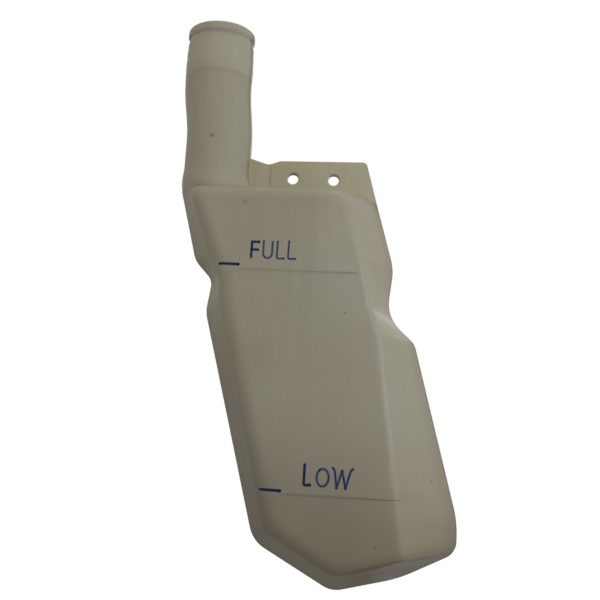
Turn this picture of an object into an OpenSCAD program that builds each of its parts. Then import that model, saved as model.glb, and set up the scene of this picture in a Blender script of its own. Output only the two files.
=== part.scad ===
// Coolant expansion tank, blow moulded in one piece from natural polyethylene.
// The front panel faces -Y, +Z is up along the filler neck's axis and +X is to the right.
// The origin is midway between the two bolt holes, on the back face of the flange.

/* [Body] */
// Depth of the lowest corner below the bolt holes
body_drop = 241.4; // [232:0.2:260]
// Depth from the parting line to the front panel
front_depth = 31; // [26:1:36]
// Depth from the parting line to the back panel
back_depth = 28; // [22:1:34]
// Wall thickness of the tank and neck
wall = 2.5; // [2:0.1:3.5]
// Inset of the back panel from the parting line outline
back_inset = 12; // [8:1:14]
// Length of the soft edge round the back panel
back_edge = 6; // [3:0.5:8]
// Height of the moulding seam along the parting line
seam_h = 0.3; // [0.2:0.1:0.8]
// Width of the moulding seam
seam_w = 1.6; // [1.2:0.2:2.4]

/* [Filler neck] */
// Height of the rim above the bolt holes
rim_z = 94; // [88:1:104]
// Distance of the mouth's axis to the left of the bolt holes' centre
mouth_x = 63; // [62:0.5:65]
// Sideways step of the tube between the body and the mouth
neck_lean = 3.3; // [2:0.1:5]
// Outer radius of the tube
neck_r = 20.35; // [20:0.05:22]
// Radius of the mouth's bore
mouth_r = 17.5; // [16:0.1:18]
// Length of the mouth's bore
mouth_len = 30; // [24:1:34]
// How far the tube's foot flares out over the shoulder
foot_flare = 5; // [3:0.5:6]
// Height of the flared foot
foot_h = 18; // [12:1:22]

/* [Neck finish] */
// Outer radius of the rim bead
bead_r = 21; // [20.6:0.1:22]
// Height of the rim bead
bead_h = 5.5; // [4:0.1:6.5]
// Radius of the bead's rounded corners
bead_round = 2; // [1:0.1:2.5]
// Radius of the finish at its lower step
finish_r = 21.05; // [20.9:0.05:22]
// Radius of the finish under the bead
finish_top_r = 19.6; // [19.4:0.1:20]
// Distance from the rim down to the finish's lower step
finish_h = 31; // [28:1:34]
// Depth of each shallow ring groove
groove_depth = 0.2; // [0.1:0.05:0.4]
// Half the width of each groove
groove_half = 2; // [1.4:0.1:2.2]
// Distances from the rim down to the ring grooves
groove_drops = [12.3, 20.2];

/* [Flange] */
// Thickness of the flange
flange_t = 3.5; // [3:0.1:5]
// Height of the flange's top edge above the bolt holes
flange_top = 11; // [9.5:0.1:14]
// Rise of the top edge towards its right end
flange_rise = 1; // [0:0.1:2]
// Thickness of the web between flange and neck
web_t = 2.6; // [2:0.1:2.9]
// Distance of the web's step to the left of the bolt holes' centre
web_step = 26; // [22:0.5:30]
// Depth of the dip in the web's top edge
web_dip = 2.4; // [1:0.1:3]
// Distance between the bolt holes
hole_spacing = 25; // [20:0.5:30]
// Diameter of the bolt holes
hole_d = 6.6; // [6:0.1:7]
// Widening of the bolt holes at the front face of the flange
hole_lip = 0.8; // [0.4:0.1:1.2]
// Radius of the fillet between flange and shoulder
root_fillet = 2.5; // [2:0.5:5]

/* [Level marks] */
// Depth of the full mark's lower edge below the bolt holes
full_drop = 64.2; // [60:0.2:66]
// Depth of the low mark's lower edge below the bolt holes
low_drop = 189; // [170:1:195]
// Height of each raised level band
band_h = 4.4; // [3:0.1:5]
// How far each band stands out from the panel
band_out = 0.35; // [0.2:0.05:0.6]
// How far a band's upper edge spreads for each millimetre of its height
band_slope_up = 5; // [3:0.5:8]
// How far a band's lower edge spreads for each millimetre of its height
band_slope_down = 1.5; // [1:0.1:2]
// Distance of the full band's left end to the left of the bolt holes' centre
full_left = 43; // [37:1:45]
// Distance of the low band's left end to the left of the bolt holes' centre
low_left = 11; // [5:1:12]
// How far the low band runs down the side slope
low_wrap = 12; // [4:1:20]

/* [Hidden] */

$fn = 96;
arc_steps = 6;
soft_steps = 4;
side_step = 12;
ring_sides = 48;
foot_steps = 5;
step_steps = 6;
overlap = 1;
min_round = 1.5;
part_y = -flange_t / 2;
shoulder_z = -8.5;

// Tube: its start inside the body, its sideways step, and its reach into the finish
foot_z = shoulder_z - 6;
step_len = 36;
step_top = rim_z - max(finish_h, mouth_len) - 4;
step_z = step_top - step_len;
step_gain = 0.4;
foot_tuck = 0.15;
foot_end = 6;
tube_top = rim_z - finish_h + 4;
tube_x = neck_lean - mouth_x;

// Finish: the drop of its widest stretch, its taper above it, its bends and its lower edge
taper_foot = finish_h - 8;
taper = 0.5;
bend_r = 6;
bead_slope = 0.8;
groove_r = 5;
foot_lip = 0.1;

// Flange: its corner radii, how its right edge sinks into the body, and the web's top edge
flange_ear = 5.5;
flange_ear_r = 8;
flange_corner_r = 3;
flange_side = -19;
flange_side_r = 40;
flange_end = -36;
flange_tuck = 1.8;
flange_out = seam_h / 2;
plate_round = 1;
fillet_turn = 65;
fillet_tilt = 30;
web_rise = 2;
web_lift = 0.5;
web_run = 2;
web_dip_r = 6;

// Level bands: the length over which each bends round the panel's ridge, and fades at its left end
band_soft = 3.5;
band_fade = 7;

// Parting line outline, clockwise from the top left: x, z, corner radius
OUTLINE = [
    [-80.9, shoulder_z, 2],
    [37.7, shoulder_z, 15],
    [50.9, -54.1, 30],
    [47.9, -83.1, 22],
    [65, -98.7, 9],
    [92.5, 42.4 - body_drop, 60],
    [92.5, 25.2 - body_drop, 10],
    [60.7, 9.4 - body_drop, 80],
    [23.4, -body_drop, 15],
    [-22.9, 25 - body_drop, 18],
    [-59.9, -84.9, 20],
    [-57.4, -65.4, 9],
    [-68.6, -53.6, 14],
];

// Front panel outline with the same corners: x, z, corner radius, length of its soft edge
PANEL = [
    [-70.4, -15, 6, 7],
    [20.1, -15, 12, 6],
    [30.9, -54, 60, 3.5],
    [38.1, -83.5, 14, 3.5],
    [43.3, -97, 12, 3.5],
    [57.7, 42.4 - body_drop, 80, 3.5],
    [61.9, 21.4 - body_drop, 4, 4],
    [44.1, 16.2 - body_drop, 60, 5],
    [24, 11.4 - body_drop, 14, 5],
    [-12.9, 32.6 - body_drop, 10, 8],
    [-47.2, -80, 30, 8],
    [-48.1, -70, 14, 8],
    [-54.7, -54.5, 14, 8],
];

function unit(v) = v / norm(v);
function flat(rows) = [for (row = rows) each row];
function before(rows, i) = rows[(i + len(rows) - 1) % len(rows)];
function after(rows, i) = rows[(i + 1) % len(rows)];
function spot(row) = [row[0], row[1]];
function way_in(rows, i) = unit(spot(rows[i]) - spot(before(rows, i)));
function way_out(rows, i) = unit(spot(after(rows, i)) - spot(rows[i]));
function right_of(v) = [v[1], -v[0]];
// Positive where a clockwise outline turns right, so at its outward corners
function turn(a, b) = a[1] * b[0] - a[0] * b[1];

// Corner moved inwards by d, with its edges kept parallel and its radius adjusted
function inset_corner(rows, i, d) = let (
    a = way_in(rows, i),
    b = way_out(rows, i),
    na = right_of(a),
    nb = right_of(b),
    p = spot(rows[i]) + d * (na + nb) / (1 + na * nb),
    r = rows[i][2] - sign(turn(a, b)) * d
) [p[0], p[1], max(min_round, r)];
function inset(rows, d) = [for (i = [0 : len(rows) - 1]) inset_corner(rows, i, d)];
function inset_each(rows, ds) = [for (i = [0 : len(rows) - 1]) inset_corner(rows, i, ds[i])];

// Corner as an arc of equal steps, or as one point where its radius is 0
function turned(v, t) = [v[0] * cos(t) - v[1] * sin(t), v[0] * sin(t) + v[1] * cos(t)];
function arc(rows, i) = let (
    a = way_in(rows, i),
    b = way_out(rows, i),
    r = rows[i][2],
    bend = acos(min(1, a * b)),
    side = sign(turn(a, b)),
    start = spot(rows[i]) - a * r * tan(bend / 2),
    centre = start + side * r * right_of(a)
) r == 0
    ? [start]
    : [for (k = [0 : arc_steps]) centre + turned(start - centre, -side * bend * k / arc_steps)];
function rounded(rows) = flat([for (i = [0 : len(rows) - 1]) arc(rows, i)]);

// The same outline for a skin, with its long straight sides cut into shorter steps
function side_steps(i) = floor(norm(spot(after(OUTLINE, i)) - spot(OUTLINE[i])) / side_step);
function stepped_out(rows) = flat([
    for (i = [0 : len(rows) - 1])
        let (here = arc(rows, i), next = arc(rows, (i + 1) % len(rows)), n = side_steps(i))
            concat(here, [for (k = [1 : 1 : n]) mix(here[len(here) - 1], next[0], k / (n + 1))])
]);

function mix(a, b, t) = a + (b - a) * t;
function mix_rows(a, b, t) = [
    for (i = [0 : len(a) - 1]) [for (k = [0 : 2]) mix(a[i][k], b[i][k], t)]
];
function at_depth(points, y) = [for (p = points) [p[0], part_y + y, p[1]]];

// One mould half: the sloping wall and the soft edge round its panel, from panel to wall
function soft_point(inner, ridge, wall_end, t) = let (
    start = ridge + unit(wall_end - ridge) * norm(inner - ridge)
) inner * pow(1 - t, 2) + 2 * ridge * t * (1 - t) + start * pow(t, 2);
function half(base, panel, edges, depth, skin, side) = let (
    foot = at_depth(stepped_out(inset(base, skin)), 0),
    ridge_rows = inset(mix_rows(base, panel, (depth - skin) / depth), skin),
    ridge = at_depth(stepped_out(ridge_rows), side * (depth - skin)),
    rim = at_depth(stepped_out(inset_each(ridge_rows, edges)), side * (depth - skin))
) [
    for (s = [0 : soft_steps])
        [for (i = [0 : len(ridge) - 1]) soft_point(rim[i], ridge[i], foot[i], s / soft_steps)]
];

BACK_PANEL = inset(OUTLINE, back_inset);
FRONT_EDGES = [for (row = PANEL) row[3]];
BACK_EDGES = [for (row = BACK_PANEL) back_edge];

function reversed(rows) = [for (i = [len(rows) - 1 : -1 : 0]) rows[i]];
function seam_rings() = [
    at_depth(stepped_out(OUTLINE), -seam_w / 2),
    at_depth(stepped_out(inset(OUTLINE, -seam_h)), -seam_w / 4),
    at_depth(stepped_out(inset(OUTLINE, -seam_h)), seam_w / 4),
    at_depth(stepped_out(OUTLINE), seam_w / 2),
];
function body_rings() = concat(
    half(OUTLINE, PANEL, FRONT_EDGES, front_depth, 0, -1),
    seam_rings(),
    reversed(half(OUTLINE, BACK_PANEL, BACK_EDGES, back_depth, 0, 1))
);
function cavity_rings() = concat(
    half(OUTLINE, PANEL, FRONT_EDGES, front_depth, wall, -1),
    [at_depth(stepped_out(inset(OUTLINE, wall)), 0)],
    reversed(half(OUTLINE, BACK_PANEL, BACK_EDGES, back_depth, wall, 1))
);

// End face of a skin: a strip of triangles between the two sides of its ring
function cap(n) = flat([
    for (i = [0 : ceil(n / 2) - 2])
        i + 1 < n - 2 - i
            ? [[i, i + 1, n - 1 - i], [i + 1, n - 2 - i, n - 1 - i]]
            : [[i, i + 1, n - 1 - i]]
]);

// Closed skin through rings with equal numbers of points, clockwise seen from the first end
module skin(rings) {
    n = len(rings[0]);
    last = (len(rings) - 1) * n;
    sides = [
        for (k = [0 : len(rings) - 2], i = [0 : n - 1])
            let (j = (i + 1) % n, a = k * n, b = a + n)
                each [[a + i, b + i, a + j], [a + j, b + i, b + j]]
    ];
    top = [for (f = cap(n)) [f[0] + last, f[2] + last, f[1] + last]];
    polyhedron(flat(rings), concat(cap(n), sides, top), convexity = 6);
}

// Tube from the shoulder to the finish, with a flared foot and a sideways step
function eased(t) = let (u = max(0, min(1, t))) u * u * (3 - 2 * u);
function flare(z) = foot_flare * pow(max(0, 1 - (z - foot_z) / foot_h), 2);
function stepped(z) = eased((z - step_z) / step_len);
function tube_r(z) = neck_r + flare(z) + step_gain * stepped(z);
function wall_x(z) = edge_x(OUTLINE[0], OUTLINE[len(OUTLINE) - 1], z) + foot_tuck;
function tube_left(z) = mix(wall_x(z), tube_x - neck_r, eased((z - foot_z) / foot_h));
function tube_cx(z) = tube_left(z) + neck_r + flare(z) - neck_lean * stepped(z);
function tube_ring(z, skin, sunk = 0) = [
    for (i = [0 : ring_sides - 1]) let (t = 360 * i / ring_sides)
        [
            tube_cx(z) + (tube_r(z) - skin) * sin(t),
            part_y - (tube_r(z) - skin) * cos(t),
            z - sunk
        ]
];
tube_levels = [
    for (k = [0 : foot_steps]) foot_z + foot_h * k / foot_steps,
    for (k = [0 : step_steps]) step_z + step_len * k / step_steps,
];
module tube() {
    skin(concat(
        [tube_ring(foot_z, foot_end, foot_end)],
        [for (z = concat(tube_levels, tube_top)) tube_ring(z, 0)]
    ));
}
module tube_bore() {
    top = rim_z - mouth_len + overlap;
    skin([for (z = concat(foot_z - overlap, tube_levels, top)) tube_ring(z, wall)]);
}

// Finish: a slightly tapered collar with ring grooves under a rounded bead
function collar_r(drop) = finish_r - taper * (taper_foot - drop) / (taper_foot - bead_h);
function groove(drop) = [
    [collar_r(drop - groove_half), groove_half - drop, groove_r],
    [collar_r(drop) - groove_depth, -drop, groove_r],
    [collar_r(drop + groove_half), -groove_half - drop, groove_r],
];
finish_profile = concat(
    [
        [0, -finish_h, 0],
        [0, 0, 0],
        [bead_r, 0, bead_round],
        [bead_r, bead_slope - bead_h, bead_round],
        [finish_top_r, -bead_h - bead_slope, bead_slope],
    ],
    flat([for (drop = groove_drops) groove(drop)]),
    [
        [finish_r, -taper_foot, bend_r],
        [neck_r + step_gain + foot_lip, -finish_h, 0],
    ]
);
module finish() {
    translate([-mouth_x, part_y, rim_z])
        rotate_extrude()
            polygon(rounded(finish_profile));
}

// Flat plate in the parting plane, from a list of corners
module plate(rows, thickness) {
    translate([0, part_y + thickness / 2, 0])
        rotate([90, 0, 0])
            linear_extrude(thickness)
                polygon(rounded(rows));
}

module flange() {
    neck_edge = tube_x + neck_r;
    root = shoulder_z - wall / 2;
    slope = (OUTLINE[2][0] - OUTLINE[1][0]) / (OUTLINE[2][1] - OUTLINE[1][1]);
    side_x = OUTLINE[1][0] + flange_out;
    right_top = side_x + slope * (flange_top - shoulder_z);
    right_side = side_x + slope * (flange_side - shoulder_z);
    right_end = side_x + slope * (flange_end - shoulder_z) - flange_tuck;
    plate([
        [-web_step, root, plate_round],
        [-web_step, flange_top - web_dip + web_lift, web_run],
        [-web_step + flange_ear, flange_top, flange_ear_r],
        [right_top, flange_top + flange_rise, flange_corner_r],
        [right_side, flange_side, flange_side_r],
        [right_end, flange_end, plate_round],
        [right_end - root_fillet, flange_end, plate_round],
        [OUTLINE[1][0] - OUTLINE[1][2], root, plate_round],
    ], flange_t);
    plate([
        [neck_edge - wall, root, plate_round],
        [neck_edge - wall, flange_top + web_rise, plate_round],
        [neck_edge + web_run, flange_top + web_lift, web_run],
        [-web_step - web_run, flange_top - web_dip, web_dip_r],
        [-web_step + flange_ear, flange_top - web_lift, plate_round],
        [-web_step + flange_ear, root, plate_round],
    ], web_t);
}

// Fillets where the flange meets the shoulder, front and back, with slanted right ends
module root_fillets() {
    from = tube_x + neck_r - wall;
    to = OUTLINE[1][0] - OUTLINE[1][2];
    foot = shoulder_z - overlap;
    reach = flange_t / 2 + root_fillet;
    for (side = [-1, 1])
        difference() {
            translate([from, part_y, foot])
                rotate([90, 0, 90])
                    linear_extrude(to - from)
                        difference() {
                            translate([side > 0 ? 0 : -reach, 0])
                                square([reach, root_fillet + overlap]);
                            translate([side * reach, root_fillet + overlap])
                                circle(root_fillet);
                        }
            translate([to, part_y + side * flange_t / 2, shoulder_z])
                rotate([0, -fillet_tilt, side * fillet_turn])
                    translate([0, -step_len / 2, -step_len / 2])
                        cube(step_len);
        }
}

// Round holes, each with its edge broken at the front
module bolt_holes() {
    for (side = [-1, 1])
        translate([side * hole_spacing / 2, 0, 0])
            rotate([90, 0, 0])
                rotate_extrude()
                    polygon([
                        [0, -overlap],
                        [hole_d / 2, -overlap],
                        [hole_d / 2, flange_t - hole_lip],
                        [hole_d / 2 + hole_lip + overlap, flange_t + overlap],
                        [0, flange_t + overlap],
                    ]);
}

// Where a corner-to-corner edge of an outline passes a height
function edge_x(a, b, z) = mix(a[0], b[0], (z - a[1]) / (b[1] - a[1]));

// Raised band with sloping edges, swept along a path of points, outward directions and heights
function band_section(p, out, height, z) = [
    for (c = [[1, -overlap], [1, height], [-1, height], [-1, -overlap]])
        let (
            q = p + out * c[1],
            slope = c[0] > 0 ? band_slope_up : band_slope_down,
            edge = band_h / 2 - slope * max(c[1], -band_out)
        ) [q[0], q[1], z + c[0] * edge]
];
module level_band(drop, left, ridge_x, foot_x, reach) {
    front = [0, -1];
    way = unit([foot_x - ridge_x, front_depth]);
    slope_out = [way[1], -way[0]];
    ridge = [ridge_x, part_y - front_depth];
    path = [
        [[-left, ridge[1]], front, -band_out],
        [[band_fade - left, ridge[1]], front, band_out],
        [ridge - [band_soft, 0], front, band_out],
        [ridge + (way - [1, 0]) * band_soft / 4, unit(front + slope_out), reach > 0 ? band_out : -band_out],
        if (reach > 0) [ridge + way * band_soft, slope_out, band_out],
        if (reach > 0) [ridge + way * (band_soft + reach), slope_out, -band_out],
    ];
    skin([for (p = path) band_section(p[0], p[1], p[2], band_h / 2 - drop)]);
}

module level_bands() {
    full_z = -full_drop + band_h / 2;
    low_z = -low_drop + band_h / 2;
    level_band(
        full_drop, full_left,
        edge_x(PANEL[2], PANEL[3], full_z),
        edge_x(OUTLINE[2], OUTLINE[3], full_z), 0
    );
    level_band(
        low_drop, low_left,
        edge_x(PANEL[4], PANEL[5], low_z),
        edge_x(OUTLINE[4], OUTLINE[5], low_z), low_wrap
    );
}

module mouth_bore() {
    translate([-mouth_x, part_y, rim_z - mouth_len])
        cylinder(r = mouth_r, h = mouth_len + overlap);
}

module tank() {
    color("#b5ad99")
        difference() {
            union() {
                skin(body_rings());
                tube();
                finish();
                flange();
                root_fillets();
                level_bands();
            }
            skin(cavity_rings());
            tube_bore();
            mouth_bore();
            bolt_holes();
        }
}

tank();
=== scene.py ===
# Looks of the coolant expansion tank: aged polyethylene, inked level marks and studio
import math
import random

import bmesh
import bpy
from mathutils import Matrix, Vector
from mathutils.bvhtree import BVHTree


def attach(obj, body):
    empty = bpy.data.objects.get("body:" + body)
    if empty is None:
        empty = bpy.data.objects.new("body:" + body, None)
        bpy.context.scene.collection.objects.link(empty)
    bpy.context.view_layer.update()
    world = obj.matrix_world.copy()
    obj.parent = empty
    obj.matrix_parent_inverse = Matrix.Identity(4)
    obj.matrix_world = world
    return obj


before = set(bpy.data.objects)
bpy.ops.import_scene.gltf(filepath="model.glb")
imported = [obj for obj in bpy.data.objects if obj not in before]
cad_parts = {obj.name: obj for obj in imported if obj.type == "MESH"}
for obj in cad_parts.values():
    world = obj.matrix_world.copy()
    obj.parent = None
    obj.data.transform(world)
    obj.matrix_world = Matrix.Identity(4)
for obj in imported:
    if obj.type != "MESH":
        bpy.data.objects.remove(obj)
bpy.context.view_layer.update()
MM = 0.001


def srgb(red, green, blue):
    """A colour given as it looks on screen, 0 to 255, as Blender's linear colour."""

    def linear(value):
        value /= 255
        return value / 12.92 if value <= 0.04045 else ((value + 0.055) / 1.055) ** 2.4

    return (linear(red), linear(green), linear(blue), 1)


# Places in the tank's source, in millimetres: the parting line and the middles of the level bands
PART_Y = -1.75
BAND_DROPS = (62, 186.8)

# Colours of the plastic, of what time and use have left on it, of painted light and shade, and of the ink
NATURAL = srgb(152, 147, 130)
YELLOWED = srgb(149, 142, 120)
# The flange's yellow tint with painted light on it, stronger in the corner by the neck
FLANGE_TINT_AND_LIGHT = srgb(162, 157, 131)
FLANGE_CORNER_LIGHT = srgb(172, 165, 139)
STREAK = srgb(118, 110, 90)
DRAG_LINE = srgb(168, 163, 148)
# Painted highlight on the neck's finish, greyer and lighter all round
FINISH_HIGHLIGHT = srgb(176, 173, 160)
# Painted shade towards the foot
FOOT_PAINTED_SHADE = srgb(109, 100, 80)
# Painted shade on faces that turn down or left
UNDERSIDE_PAINTED_SHADE = srgb(84, 72, 46)
# Darker along the seam and on the flanks beside it
SEAM_DARK = srgb(86, 76, 58)
SPECK = srgb(74, 64, 50)
THIN_INK = srgb(62, 69, 102)
FULL_INK = srgb(9, 14, 62)
WHITE = (1, 1, 1, 1)

# How much of a colour the plastic takes at most, from 0 to 1
STREAK_SHARE = 0.1
DRAG_LINE_SHARE = 0.08
FINISH_HIGHLIGHT_SHARE = 0.35
FOOT_SHADE_SHARE = 0.9
UNDERSIDE_SHADE_SHARE = 0.75
LEFT_WALL_SHADE_SHARE = 0.32
SEAM_DARK_SHARE = 0.5
FLANK_DARK_SHARE = 0.15
NECK_DARK_SHARE = 0.65

# How fine the patterns in the plastic are, in patches per metre: all round or along x, y and z
CLOUD_SCALE = 14
GRAIN_SCALE = 1500
STREAK_SCALE = (900, 900, 22)
DRAG_LINE_SCALE = (260, 260, 9)
WAVE_SCALE = (45, 45, 18)

# Where between the lowest and the highest value of a pattern its colour fades in
CLOUD_SPAN = (0.35, 0.68)
STREAK_SPAN = (0.4, 0.75)
DRAG_LINE_SPAN = (0.5, 0.75)

# Bumps of these patterns: height in millimetres and strength
WAVE_BUMP = (0.5, 0.6)
STREAK_BUMP = (0.04, 0.3)
GRAIN_BUMP = (0.03, 0.4)

# Roughness of the plastic: where the clouds change it, from what to what, and what rubbing takes off
ROUGH_SPAN = (0.3, 0.7)
ROUGHNESS = (0.6, 0.68)
RUBBED_OFF = 0.2

# Wear of the ink: patches per metre, where between them it fades in, and what it does to the density
WEAR_SCALE = 900
WEAR_SPAN = (0.35, 0.7)
WEAR = (-0.18, 0.12)

# Where the surface's zones fade in, in millimetres: from none of the zone to all of it
FLANGE_X = (-44, -40)
FLANGE_Z = (-16, -12)
FLANGE_OFF_SEAM = (4, 2.5)
CORNER_X = (-22, -30)
FINISH_Z = (61.5, 64)
FOOT_Z = (-90, -220)
UNDERSIDE_X = (15, 45)
LEFT_WALL_Z = (-80, -160)
SEAM_OFF = (2.2, 0.8)
FLANK_OFF = (9, 3)
NECK_Z = (-20, 0)
FRONT_Y = (-8, -20)

# How far the clouds can shift the edge of the foot's painted shade, in millimetres
FOOT_EDGE_SWAY = 80

# A surface's normal, as its z where it faces down and its x where it faces left, from no painted shade to
# all
FACING_DOWN = (-0.35, -0.85)
FACING_LEFT = (-0.5, -0.9)

# The front panel's right ridge: its x at the height of the bolt holes, in millimetres, and how far it
# moves right for each millimetre down
RIDGE_X = 17
RIDGE_LEAN = 0.206

# Where the plastic gets smoother and the edges crisper, in millimetres past that ridge, and the share
# of a soft edge's reach that is left there
RUBBED_PAST_RIDGE = (-30, -8)
CRISP_PAST_RIDGE = (-14, -5)
CRISP_SHARE = 0.25

# Reach of the soft edges, in millimetres: on the panel, by the FULL band and by the LOW band
PANEL_REACH = 10
FULL_REACH = 6
LOW_REACH = 2.5

# Where one band's reach gives way to the other's, and a band's to the panel's, in millimetres
BETWEEN_BANDS_Z = (-100, -120)
OFF_BAND = (2.5, 10)

# Small stains and specks: x, y, z and radius in millimetres, and strength
STAINS = [
    (-61.2, -22, 19.6, 2.0, 0.45),
    (-37, -32.8, -23.8, 2.2, 0.25),
    (53.1, -19.4, -227.3, 1.3, 0.65),
    (46.2, -32.8, -213.6, 1.3, 0.4),
    (76.7, -11.6, -177.5, 1.3, 0.35),
    (-50.3, -22.5, -85.7, 1.3, 0.4),
    (24.1, -32.8, -86.9, 1.0, 0.5),
]

# Share of a stain's radius up to which it has its full strength
STAIN_MIDDLE = 0.3

# Folded triangles by the back's lower corner: all past this y, in millimetres, that face this far inwards
FOLD_Y = 24.4
FOLD_FACING = -0.3

# Doubled triangles there, in millimetres: past this y and x, this near to this z, and below this area
DOUBLE_Y = 26.24
DOUBLE_X = 69
DOUBLE_Z = -205.9
DOUBLE_Z_SPAN = 1.5
DOUBLE_AREA = 2.5

# Shading of the tank: points this close are one, in millimetres, and edges sharper than this stay sharp
WELD = 0.01
SHARP_ANGLE = math.radians(32)

# The film of ink, in millimetres: how far it stands proud, how much more with each stroke of a letter,
# how far its edges sink, and how closely it follows the surface
INK_PROUD = 0.025
INK_LAYER = 0.004
INK_SUNK = 0.03
INK_STEP = 0.25

# Share of a stroke's width that lies flat between its edges
INK_FLAT = 0.75

# The pen's line: how its width waves and varies, how it swells over its last steps, how both its ends
# darken, and the seed of its variation
PEN_WAVE = 0.1
PEN_WAVE_TURN = 0.9
PEN_VARIATION = 0.04
SWELLING = 0.2
SWELLING_STEPS = 6
BLOT = 0.5
BLOT_STEPS = 7
PEN_SEED = 11

# Rows that make a stroke's end round: how far each lies beyond the path's end, as a share of half its width
ROUND_END = [math.sin(math.radians(angle)) for angle in (85, 65, 40, 20)]


def arc(x, z, rx, rz, start, end, steps):
    """Points along an ellipse, from one angle to another, in degrees."""
    turns = [math.radians(start + (end - start) * k / steps) for k in range(steps + 1)]
    return [(x + rx * math.cos(t), z + rz * math.sin(t)) for t in turns]


# Each letter as pen strokes in a box from 0 to 1
LETTERS = {
    "F": [[(0, 0), (0.05, 1)], [(0.05, 1), (1, 1)], [(0.03, 0.5), (0.88, 0.49)]],
    "U": [[(0, 1)] + arc(0.5, 0.26, 0.5, 0.26, 180, 360, 10) + [(1, 0.97)]],
    "L": [[(0.03, 1)] + arc(0.25, 0.1, 0.25, 0.1, 180, 270, 5) + [(1, 0.02)]],
    "O": [arc(0.5, 0.5, 0.5, 0.5, 125, 478, 28)],
    "W": [
        [(0, 1), (0.1, 0.86), (0.22, 0)],
        [(0.22, 0), (0.47, 0.87)],
        [(0.47, 0.87), (0.67, 0)],
        [(0.67, 0), (0.9, 0.88), (1, 0.98)],
    ],
}

# Letters of the marks, in millimetres: name, left edge, foot, width, height, stroke width and ink density
MARKS = [
    ("F", -31.3, -56.9, 4.2, 9.1, 1.6, 0.9),
    ("U", -24.4, -57.1, 5.1, 9.8, 1.35, 0.3),
    ("L", -16.5, -57.2, 4.1, 10.0, 1.3, 0.35),
    ("L", -10.0, -57.1, 4.2, 10.3, 1.3, 0.45),
    ("L", 6.0, -183.2, 3.4, 11.0, 1.75, 0.9),
    ("O", 12.9, -183.3, 6.6, 9.4, 1.45, 0.5),
    ("W", 21.6, -183.8, 10.9, 10.8, 1.45, 0.55),
]

# Dashes on the raised bands, in millimetres: left end, right end, height and drop of the right end
DASHES = [(-49.1, -38.3, -61.2, 0.25), (-17.7, -6.8, -186.8, 0.15)]
DASH_WIDTH = 1.8
DASH_DENSITY = 0.95

# Camera, as the photograph was taken: it aims at a point on the parting line from a distance in metres,
# with its lens and sensor in millimetres
AIM = Vector((-3.9, PART_Y, -75)) * MM
CAMERA_DISTANCE = 0.56
CAMERA_YAW = math.radians(4)
CAMERA_PITCH = math.radians(10.3)
CAMERA_ROLL = math.radians(3.3)
CAMERA_LENS = 56
CAMERA_SENSOR = 36

# Floor, in metres: half its width, how far it lies below the bolt holes, and how far from them it turns
# all white; then how white it is before that, and its own grey
FLOOR_HALF = 6.0
FLOOR_DROP = 0.45
FLOOR_WHITE = (0.7, 1.5)
FLOOR_PALENESS = 0.5
FLOOR_GREY = (0.8, 0.8, 0.8, 1)

# The world's light on the object, and the point that the soft boxes face, in metres
WORLD_STRENGTH = 0.075
LIT_MIDDLE = (0, 0, -0.08)

# Soft boxes: the height of all, then the name, place, width, power and colour of each, in metres and watts
SOFTBOX_HEIGHT = 0.5
SOFTBOXES = [
    ("front", (0, -0.9, 0.25), 0.5, 2.2, (1, 1, 1)),
    ("right", (0.6, -0.3, 0.04), 0.4, 2.5, (0.95, 0.97, 1)),
    ("left", (-0.5, -0.35, 0.3), 0.4, 1.05, (1, 0.96, 0.88)),
    ("top", (0.15, -0.1, 0.7), 0.5, 1.3, (1, 1, 1)),
    ("back", (0.15, 0.85, 0.2), 0.5, 2.2, (1, 1, 1)),
]

# Sockets of Blender's Mix node that carry colours
MIX_FIRST, MIX_SECOND, MIX_RESULT = 6, 7, 2


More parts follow.
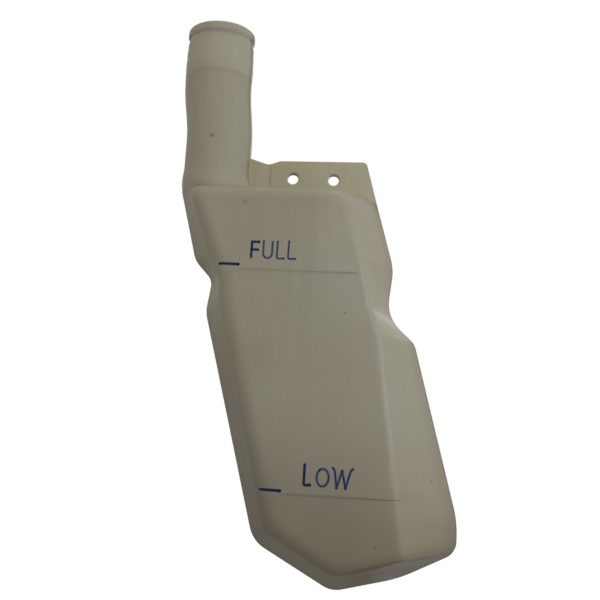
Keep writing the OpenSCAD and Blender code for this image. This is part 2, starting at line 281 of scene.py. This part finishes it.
class Nodes:
    """Short calls for building a node tree."""

    def __init__(self, tree):
        self.tree = tree
        tree.nodes.clear()

    def feed(self, socket, value):
        if isinstance(value, bpy.types.NodeSocket):
            self.tree.links.new(value, socket)
        else:
            socket.default_value = value

    def add(self, kind, *values, settings=None, **named):
        """A node with values for its first sockets, and for others by name, written with _ for a space."""
        node = self.tree.nodes.new(kind)
        for name, value in (settings or {}).items():
            setattr(node, name, value)
        for index, value in enumerate(values):
            self.feed(node.inputs[index], value)
        for name, value in named.items():
            self.feed(node.inputs[name.replace("_", " ")], value)
        return node

    def maths(self, operation, a, b=0.0, c=0.0):
        return self.add("ShaderNodeMath", a, b, c, settings={"operation": operation}).outputs[0]

    def product(self, first, *others):
        for other in others:
            first = self.maths("MULTIPLY", first, other)
        return first

    def ramp(self, value, span, start=0.0, end=1.0):
        """Goes smoothly from start to end as the value goes from the span's first number to its second."""
        settings = {"interpolation_type": "SMOOTHSTEP"}
        return self.add("ShaderNodeMapRange", value, *span, start, end, settings=settings).outputs[0]

    def zone(self, place, span, start=0.0, end=1.0):
        """A ramp over a span in millimetres."""
        return self.ramp(place, (span[0] * MM, span[1] * MM), start, end)

    def mix(self, factor, first, second):
        """From the first colour to the second as the factor goes from 0 to 1."""
        node = self.add("ShaderNodeMix", factor, settings={"data_type": "RGBA"})
        self.feed(node.inputs[MIX_FIRST], first)
        self.feed(node.inputs[MIX_SECOND], second)
        return node.outputs[MIX_RESULT]

    def shaders(self, factor, first, second):
        """From the first shader to the second as the factor goes from 0 to 1."""
        return self.add("ShaderNodeMixShader", factor, first.outputs[0], second.outputs[0]).outputs[0]

    def noise(self, vector, scale, detail=2, rough=0.5):
        """Noise with so many patches per metre: one number, or three for x, y and z."""
        if isinstance(scale, tuple):
            vector = self.add("ShaderNodeMapping", Vector=vector, Scale=scale).outputs[0]
            scale = 1
        node = self.add("ShaderNodeTexNoise", Vector=vector, Scale=scale, Detail=detail, Roughness=rough)
        return node.outputs[0]

    def split(self, vector):
        """The X, Y and Z of a vector."""
        return self.add("ShaderNodeSeparateXYZ", Vector=vector).outputs

    def distance(self, vector, point):
        node = self.add("ShaderNodeVectorMath", vector, point, settings={"operation": "DISTANCE"})
        return node.outputs["Value"]

    def bump(self, pattern, size, normal):
        """A normal with a pattern's bumps of a size, which is their height in millimetres and strength."""
        height, strength = size
        node = self.add(
            "ShaderNodeBump", Strength=strength, Distance=height * MM, Height=pattern, Normal=normal
        )
        return node.outputs[0]

    def seen(self):
        """1 for rays that show their surroundings: from the camera, a reflection or through glass."""
        path = self.add("ShaderNodeLightPath").outputs
        shown = self.maths("MAXIMUM", path["Is Camera Ray"], path["Is Glossy Ray"])
        return self.maths("MAXIMUM", shown, path["Is Transmission Ray"])


def new_material(name):
    """An empty material and the nodes to fill it with."""
    material = bpy.data.materials.new(name)
    material.use_nodes = True
    return material, Nodes(material.node_tree)


def flange_zone(nodes, across, height, off_seam):
    """The bolt flange, which is pinched flat and solid."""
    return nodes.product(
        nodes.zone(off_seam, FLANGE_OFF_SEAM),
        nodes.zone(height, FLANGE_Z),
        nodes.zone(across, FLANGE_X),
    )


def painted_shade_zone(nodes, across, height):
    """Painted shade on faces that turn down, and on the foot's left wall where it faces left."""
    facing = nodes.split(nodes.add("ShaderNodeNewGeometry").outputs["Normal"])
    underside = nodes.product(
        nodes.ramp(facing["Z"], FACING_DOWN, 0, UNDERSIDE_SHADE_SHARE),
        nodes.zone(across, UNDERSIDE_X),
    )
    left_wall = nodes.product(
        nodes.ramp(facing["X"], FACING_LEFT, 0, LEFT_WALL_SHADE_SHARE),
        nodes.zone(height, LEFT_WALL_Z),
    )
    return nodes.maths("MAXIMUM", underside, left_wall)


def seam_dark_zone(nodes, height, off_seam, flange):
    """Darker along the seam, and on the flanks beside it, most of all on the neck, but not on the flange."""
    seam = nodes.zone(off_seam, SEAM_OFF, 0, SEAM_DARK_SHARE)
    flank_share = nodes.zone(height, NECK_Z, FLANK_DARK_SHARE, NECK_DARK_SHARE)
    darkening = nodes.maths("MAXIMUM", seam, nodes.zone(off_seam, FLANK_OFF, 0, flank_share))
    return nodes.product(darkening, nodes.maths("SUBTRACT", 1, flange))


def stain_zone(nodes, place, x, y, z, radius, strength):
    """A round spot that fades towards its rim."""
    away = nodes.distance(place, (x * MM, y * MM, z * MM))
    return nodes.zone(away, (radius, STAIN_MIDDLE * radius), 0, strength)


def plastic_colour(nodes, place, clouds, streaks):
    """The plastic's own colour under layers of what moulding, time and use have left, and of painted light
    and shade, in their order.
    """
    axes = nodes.split(place)
    across, depth, height = axes["X"], axes["Y"], axes["Z"]
    off_seam = nodes.maths("ABSOLUTE", nodes.maths("SUBTRACT", depth, PART_Y * MM))
    drag_lines = nodes.noise(place, DRAG_LINE_SCALE)

    # The flange is yellower, and painted lighter where the neck and body shade it, most of all in the corner
    # by the neck
    flange = flange_zone(nodes, across, height, off_seam)
    flange_tint_and_light = nodes.mix(nodes.zone(across, CORNER_X), FLANGE_TINT_AND_LIGHT, FLANGE_CORNER_LIGHT)

    # Painted shade darkens the foot, with an uneven upper edge
    uneven_height = nodes.maths("MULTIPLY_ADD", clouds, FOOT_EDGE_SWAY * MM, height)

    layers = [
        (YELLOWED, nodes.ramp(clouds, CLOUD_SPAN)),
        (flange_tint_and_light, flange),
        (STREAK, nodes.ramp(streaks, STREAK_SPAN, 0, STREAK_SHARE)),
        (DRAG_LINE, nodes.ramp(drag_lines, DRAG_LINE_SPAN, 0, DRAG_LINE_SHARE)),
        # Painted highlight on the neck's finish
        (FINISH_HIGHLIGHT, nodes.zone(height, FINISH_Z, 0, FINISH_HIGHLIGHT_SHARE)),
        # Painted shade on the foot
        (FOOT_PAINTED_SHADE, nodes.zone(uneven_height, FOOT_Z, 0, FOOT_SHADE_SHARE)),
        # Painted shade on faces turned down or left
        (UNDERSIDE_PAINTED_SHADE, painted_shade_zone(nodes, across, height)),
        # Darker along the seam and its flanks
        (SEAM_DARK, seam_dark_zone(nodes, height, off_seam, flange)),
    ]
    layers += [(SPECK, stain_zone(nodes, place, *stain)) for stain in STAINS]
    colour = NATURAL
    for layer, share in layers:
        colour = nodes.mix(share, colour, layer)
    return colour


def soft_edges(nodes, place, past_ridge):
    """Broad soft edges round the front panel, crisper by the level bands and along its right ridge."""
    axes = nodes.split(place)
    depth, height = axes["Y"], axes["Z"]
    off_bands = [nodes.maths("ABSOLUTE", nodes.maths("ADD", height, drop * MM)) for drop in BAND_DROPS]
    band_reach = nodes.zone(height, BETWEEN_BANDS_Z, FULL_REACH * MM, LOW_REACH * MM)
    reach = nodes.product(
        nodes.zone(nodes.maths("MINIMUM", *off_bands), OFF_BAND, band_reach, PANEL_REACH * MM),
        nodes.zone(past_ridge, CRISP_PAST_RIDGE, 1, CRISP_SHARE),
        nodes.zone(depth, FRONT_Y),
    )
    return nodes.add("ShaderNodeBevel", settings={"samples": 8}, Radius=reach).outputs[0]


def aged_polyethylene():
    """Natural blow-moulded polyethylene, aged, with soft moulded edges and a fine matt grain."""
    material, nodes = new_material("aged_polyethylene")
    place = nodes.add("ShaderNodeTexCoord").outputs["Object"]
    axes = nodes.split(place)
    leaning = nodes.maths("MULTIPLY_ADD", axes["Z"], RIDGE_LEAN, -RIDGE_X * MM)
    past_ridge = nodes.maths("ADD", axes["X"], leaning)

    clouds = nodes.noise(place, CLOUD_SCALE, detail=3)
    streaks = nodes.noise(place, STREAK_SCALE, detail=3, rough=0.6)
    grain = nodes.noise(place, GRAIN_SCALE)
    waves = nodes.noise(place, WAVE_SCALE)

    # Duller on the left, and rubbed smoother on the right ridge and past it
    dullness = nodes.ramp(clouds, ROUGH_SPAN, *ROUGHNESS)
    rubbed = nodes.zone(past_ridge, RUBBED_PAST_RIDGE, 0, -RUBBED_OFF)

    # Slightly wavy walls, lines drawn down the parison and a fine grain
    normal = soft_edges(nodes, place, past_ridge)
    for pattern, size in ((waves, WAVE_BUMP), (streaks, STREAK_BUMP), (grain, GRAIN_BUMP)):
        normal = nodes.bump(pattern, size, normal)

    shader = nodes.add(
        "ShaderNodeBsdfPrincipled",
        Base_Color=plastic_colour(nodes, place, clouds, streaks),
        Roughness=nodes.maths("ADD", dullness, rubbed),
        IOR=1.38,
        Subsurface_Weight=0.25,
        Subsurface_Radius=(1.0, 0.9, 0.7),
        Subsurface_Scale=3 * MM,
        Normal=normal,
    )
    nodes.add("ShaderNodeOutputMaterial", shader.outputs[0])
    return material


def level_ink():
    """Blue marking ink, worn thin where its density is low."""
    material, nodes = new_material("level_ink")
    place = nodes.add("ShaderNodeTexCoord").outputs["Object"]
    density = nodes.add("ShaderNodeAttribute", settings={"attribute_name": "ink"}).outputs["Fac"]
    wear = nodes.ramp(nodes.noise(place, WEAR_SCALE, detail=3), WEAR_SPAN, *WEAR)
    colour = nodes.mix(nodes.ramp(nodes.maths("ADD", density, wear), (0, 1)), THIN_INK, FULL_INK)
    shader = nodes.add("ShaderNodeBsdfPrincipled", Base_Color=colour, Roughness=0.6, IOR=1.25)
    nodes.add("ShaderNodeOutputMaterial", shader.outputs[0])
    return material


def without_folds():
    """A node group that drops the few triangles by the back's lower corner that fold over or lie double."""
    group = bpy.data.node_groups.new("without_folds", "GeometryNodeTree")
    for direction in ("INPUT", "OUTPUT"):
        group.interface.new_socket("Geometry", in_out=direction, socket_type="NodeSocketGeometry")
    nodes = Nodes(group)
    at = nodes.split(nodes.add("GeometryNodeInputPosition").outputs[0])
    facing = nodes.split(nodes.add("GeometryNodeInputNormal").outputs["True Normal"])
    area = nodes.add("GeometryNodeInputMeshFaceArea").outputs[0]
    folded = nodes.product(
        nodes.maths("GREATER_THAN", at["Y"], FOLD_Y * MM),
        nodes.maths("LESS_THAN", facing["Y"], FOLD_FACING),
    )
    double = nodes.product(
        nodes.maths("GREATER_THAN", at["Y"], DOUBLE_Y * MM),
        nodes.maths("GREATER_THAN", at["X"], DOUBLE_X * MM),
        nodes.maths("COMPARE", at["Z"], DOUBLE_Z * MM, DOUBLE_Z_SPAN * MM),
        nodes.maths("LESS_THAN", area, DOUBLE_AREA * MM * MM),
    )
    kept = nodes.add(
        "GeometryNodeDeleteGeometry",
        settings={"domain": "FACE"},
        Geometry=nodes.add("NodeGroupInput").outputs[0],
        Selection=nodes.maths("MAXIMUM", folded, double),
    )
    nodes.add("NodeGroupOutput", Geometry=kept.outputs[0])
    return group


def finish_tank(material):
    """Smooth shading over the moulded skin, with its true corners kept sharp."""
    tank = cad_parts["tank"]
    mesh = tank.data
    if "custom_normal" in mesh.attributes:
        mesh.attributes.remove(mesh.attributes["custom_normal"])
    mesh.shade_smooth()
    tank.modifiers.new("unfold", "NODES").node_group = without_folds()
    tank.modifiers.new("weld", "WELD").merge_threshold = WELD * MM
    tank.modifiers.new("corners", "EDGE_SPLIT").split_angle = SHARP_ANGLE
    tank.modifiers.new("flat_faces", "WEIGHTED_NORMAL").keep_sharp = True
    mesh.materials.clear()
    mesh.materials.append(material)
    return tank


def front_of(tank):
    """A function that gives the y of the tank's front at an x and z, all in millimetres."""
    mesh = tank.data
    corners = [tank.matrix_world @ vertex.co for vertex in mesh.vertices]
    tree = BVHTree.FromPolygons(corners, [face.vertices for face in mesh.polygons])

    def depth(x, z):
        hit = tree.ray_cast(Vector((x * MM, -1, z * MM)), Vector((0, 1, 0)))[0]
        return hit.y / MM

    return depth


def resampled(points):
    """The same path with points at nearly equal steps."""
    path = [Vector(points[0])]
    for a, b in zip(points, points[1:]):
        a, b = Vector(a), Vector(b)
        pieces = max(1, math.ceil((b - a).length / INK_STEP))
        path += [a.lerp(b, k / pieces) for k in range(1, pieces + 1)]
    return path


def stroke_rows(points, width, rng):
    """Middle and half width at each step of a stroke, uneven, round at both ends and swollen at the last."""
    path = resampled(points)
    half = width / 2
    backwards, forwards = (path[0] - path[1]).normalized(), (path[-1] - path[-2]).normalized()
    first = [(path[0] + backwards * half * t, half * math.sqrt(1 - t * t)) for t in ROUND_END]
    swollen = half * (1 + SWELLING)
    last = [(path[-1] + forwards * half * t, swollen * math.sqrt(1 - t * t)) for t in ROUND_END]
    phase = rng.uniform(0, 10)
    rows = []
    for k, point in enumerate(path):
        wave = PEN_WAVE * math.sin(k * PEN_WAVE_TURN + phase)
        variation = rng.uniform(-PEN_VARIATION, PEN_VARIATION)
        swelling = SWELLING * max(0.0, 1 - (len(path) - 1 - k) / SWELLING_STEPS)
        rows.append((point, half * (1 + wave + variation + swelling)))
    return first + rows + last[::-1]


def ink_stroke(bm, points, front, layer, width, density, rng):
    """A film of ink along a path on the tank's front, darker at its ends."""
    ink = bm.verts.layers.float["ink"]
    proud = INK_PROUD + INK_LAYER * layer
    section = [(-1, -INK_SUNK), (-INK_FLAT, proud), (0, proud), (INK_FLAT, proud), (1, -INK_SUNK)]
    rows = stroke_rows(points, width, rng)
    rings = []
    for k, (point, reach) in enumerate(rows):
        ahead = rows[min(k + 1, len(rows) - 1)][0] - rows[max(k - 1, 0)][0]
        side = Vector((-ahead.y, ahead.x)).normalized()
        blot = BLOT * max(0.0, 1 - min(k, len(rows) - 1 - k) / BLOT_STEPS)
        ring = []
        for across, out in section:
            spot = point + side * across * reach
            vertex = bm.verts.new((spot.x * MM, (front(spot.x, spot.y) - out) * MM, spot.y * MM))
            vertex[ink] = min(1.0, density + blot)
            ring.append(vertex)
        rings.append(ring)
    for a, b in zip(rings, rings[1:]):
        for k in range(len(section)):
            j = (k + 1) % len(section)
            bm.faces.new((a[k], a[j], b[j], b[k]))
    bm.faces.new(reversed(rings[0]))
    bm.faces.new(rings[-1])


def level_marks(tank, material):
    """FULL and LOW with their dashes, inked on the panel and along the raised bands."""
    rng = random.Random(PEN_SEED)
    front = front_of(tank)
    bm = bmesh.new()
    bm.verts.layers.float.new("ink")
    for name, left, foot, width, height, pen, density in MARKS:
        for layer, stroke in enumerate(LETTERS[name]):
            points = [(left + u * width, foot + v * height) for u, v in stroke]
            ink_stroke(bm, points, front, layer, pen, density, rng)
    for left, right, height, drop in DASHES:
        ink_stroke(bm, [(left, height), (right, height - drop)], front, 0, DASH_WIDTH, DASH_DENSITY, rng)
    bmesh.ops.recalc_face_normals(bm, faces=bm.faces)
    mesh = bpy.data.meshes.new("level_marks")
    bm.to_mesh(mesh)
    bm.free()
    marks = bpy.data.objects.new("level_marks", mesh)
    bpy.context.scene.collection.objects.link(marks)
    mesh.materials.append(material)
    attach(marks, "root")


def place_camera():
    """The photograph's camera, turned to the side, tilted up and rolled about its own axis."""
    forward = Vector((
        -math.sin(CAMERA_YAW) * math.cos(CAMERA_PITCH),
        math.cos(CAMERA_YAW) * math.cos(CAMERA_PITCH),
        math.sin(CAMERA_PITCH),
    ))
    level = Vector((math.cos(CAMERA_YAW), math.sin(CAMERA_YAW), 0))
    right = Matrix.Rotation(-CAMERA_ROLL, 3, forward) @ level
    up = right.cross(forward)
    data = bpy.data.cameras.new("camera")
    data.lens = CAMERA_LENS
    data.sensor_width = CAMERA_SENSOR
    camera = bpy.data.objects.new("camera", data)
    bpy.context.scene.collection.objects.link(camera)
    turn = Matrix((right, up, -forward)).transposed()
    camera.matrix_world = Matrix.Translation(AIM - forward * CAMERA_DISTANCE) @ turn.to_4x4()
    bpy.context.scene.camera = camera


def softbox(name, position, width, watts, colour):
    """A rectangular light that faces the tank."""
    data = bpy.data.lights.new(name, "AREA")
    data.shape = "RECTANGLE"
    data.size = width
    data.size_y = SOFTBOX_HEIGHT
    data.energy = watts
    data.color = colour
    lamp = bpy.data.objects.new(name, data)
    lamp.location = position
    lamp.rotation_euler = (Vector(LIT_MIDDLE) - Vector(position)).to_track_quat("-Z", "Y").to_euler()
    bpy.context.scene.collection.objects.link(lamp)


def white_world():
    """White to rays that show their surroundings, and dim to those that light the tank."""
    world = bpy.data.worlds.new("studio")
    world.use_nodes = True
    bpy.context.scene.world = world
    nodes = Nodes(world.node_tree)
    dim = nodes.add("ShaderNodeBackground", Color=WHITE, Strength=WORLD_STRENGTH)
    white = nodes.add("ShaderNodeBackground", Color=WHITE)
    nodes.add("ShaderNodeOutputWorld", nodes.shaders(nodes.seen(), dim, white))


def pale_floor():
    """A plain floor well under the tank, seen as half white below it and all white further off."""
    size = FLOOR_HALF
    corners = [(x, y, -FLOOR_DROP) for x, y in ((-size, -size), (size, -size), (size, size), (-size, size))]
    mesh = bpy.data.meshes.new("floor")
    mesh.from_pydata(corners, [], [(0, 1, 2, 3)])
    floor = bpy.data.objects.new("floor", mesh)
    bpy.context.scene.collection.objects.link(floor)
    material, nodes = new_material("floor")
    away = nodes.distance(nodes.add("ShaderNodeTexCoord").outputs["Object"], (0, 0, 0))
    paleness = nodes.product(nodes.ramp(away, FLOOR_WHITE, FLOOR_PALENESS, 1), nodes.seen())
    matt = nodes.add("ShaderNodeBsdfDiffuse", Color=FLOOR_GREY)
    white = nodes.add("ShaderNodeEmission", Color=WHITE)
    nodes.add("ShaderNodeOutputMaterial", nodes.shaders(paleness, matt, white))
    mesh.materials.append(material)


def studio():
    """White surroundings, a pale floor and soft boxes all round."""
    white_world()
    pale_floor()
    for box in SOFTBOXES:
        softbox(*box)
    bpy.context.scene.view_settings.view_transform = "Standard"


place_camera()
level_marks(finish_tank(aged_polyethylene()), level_ink())
studio()
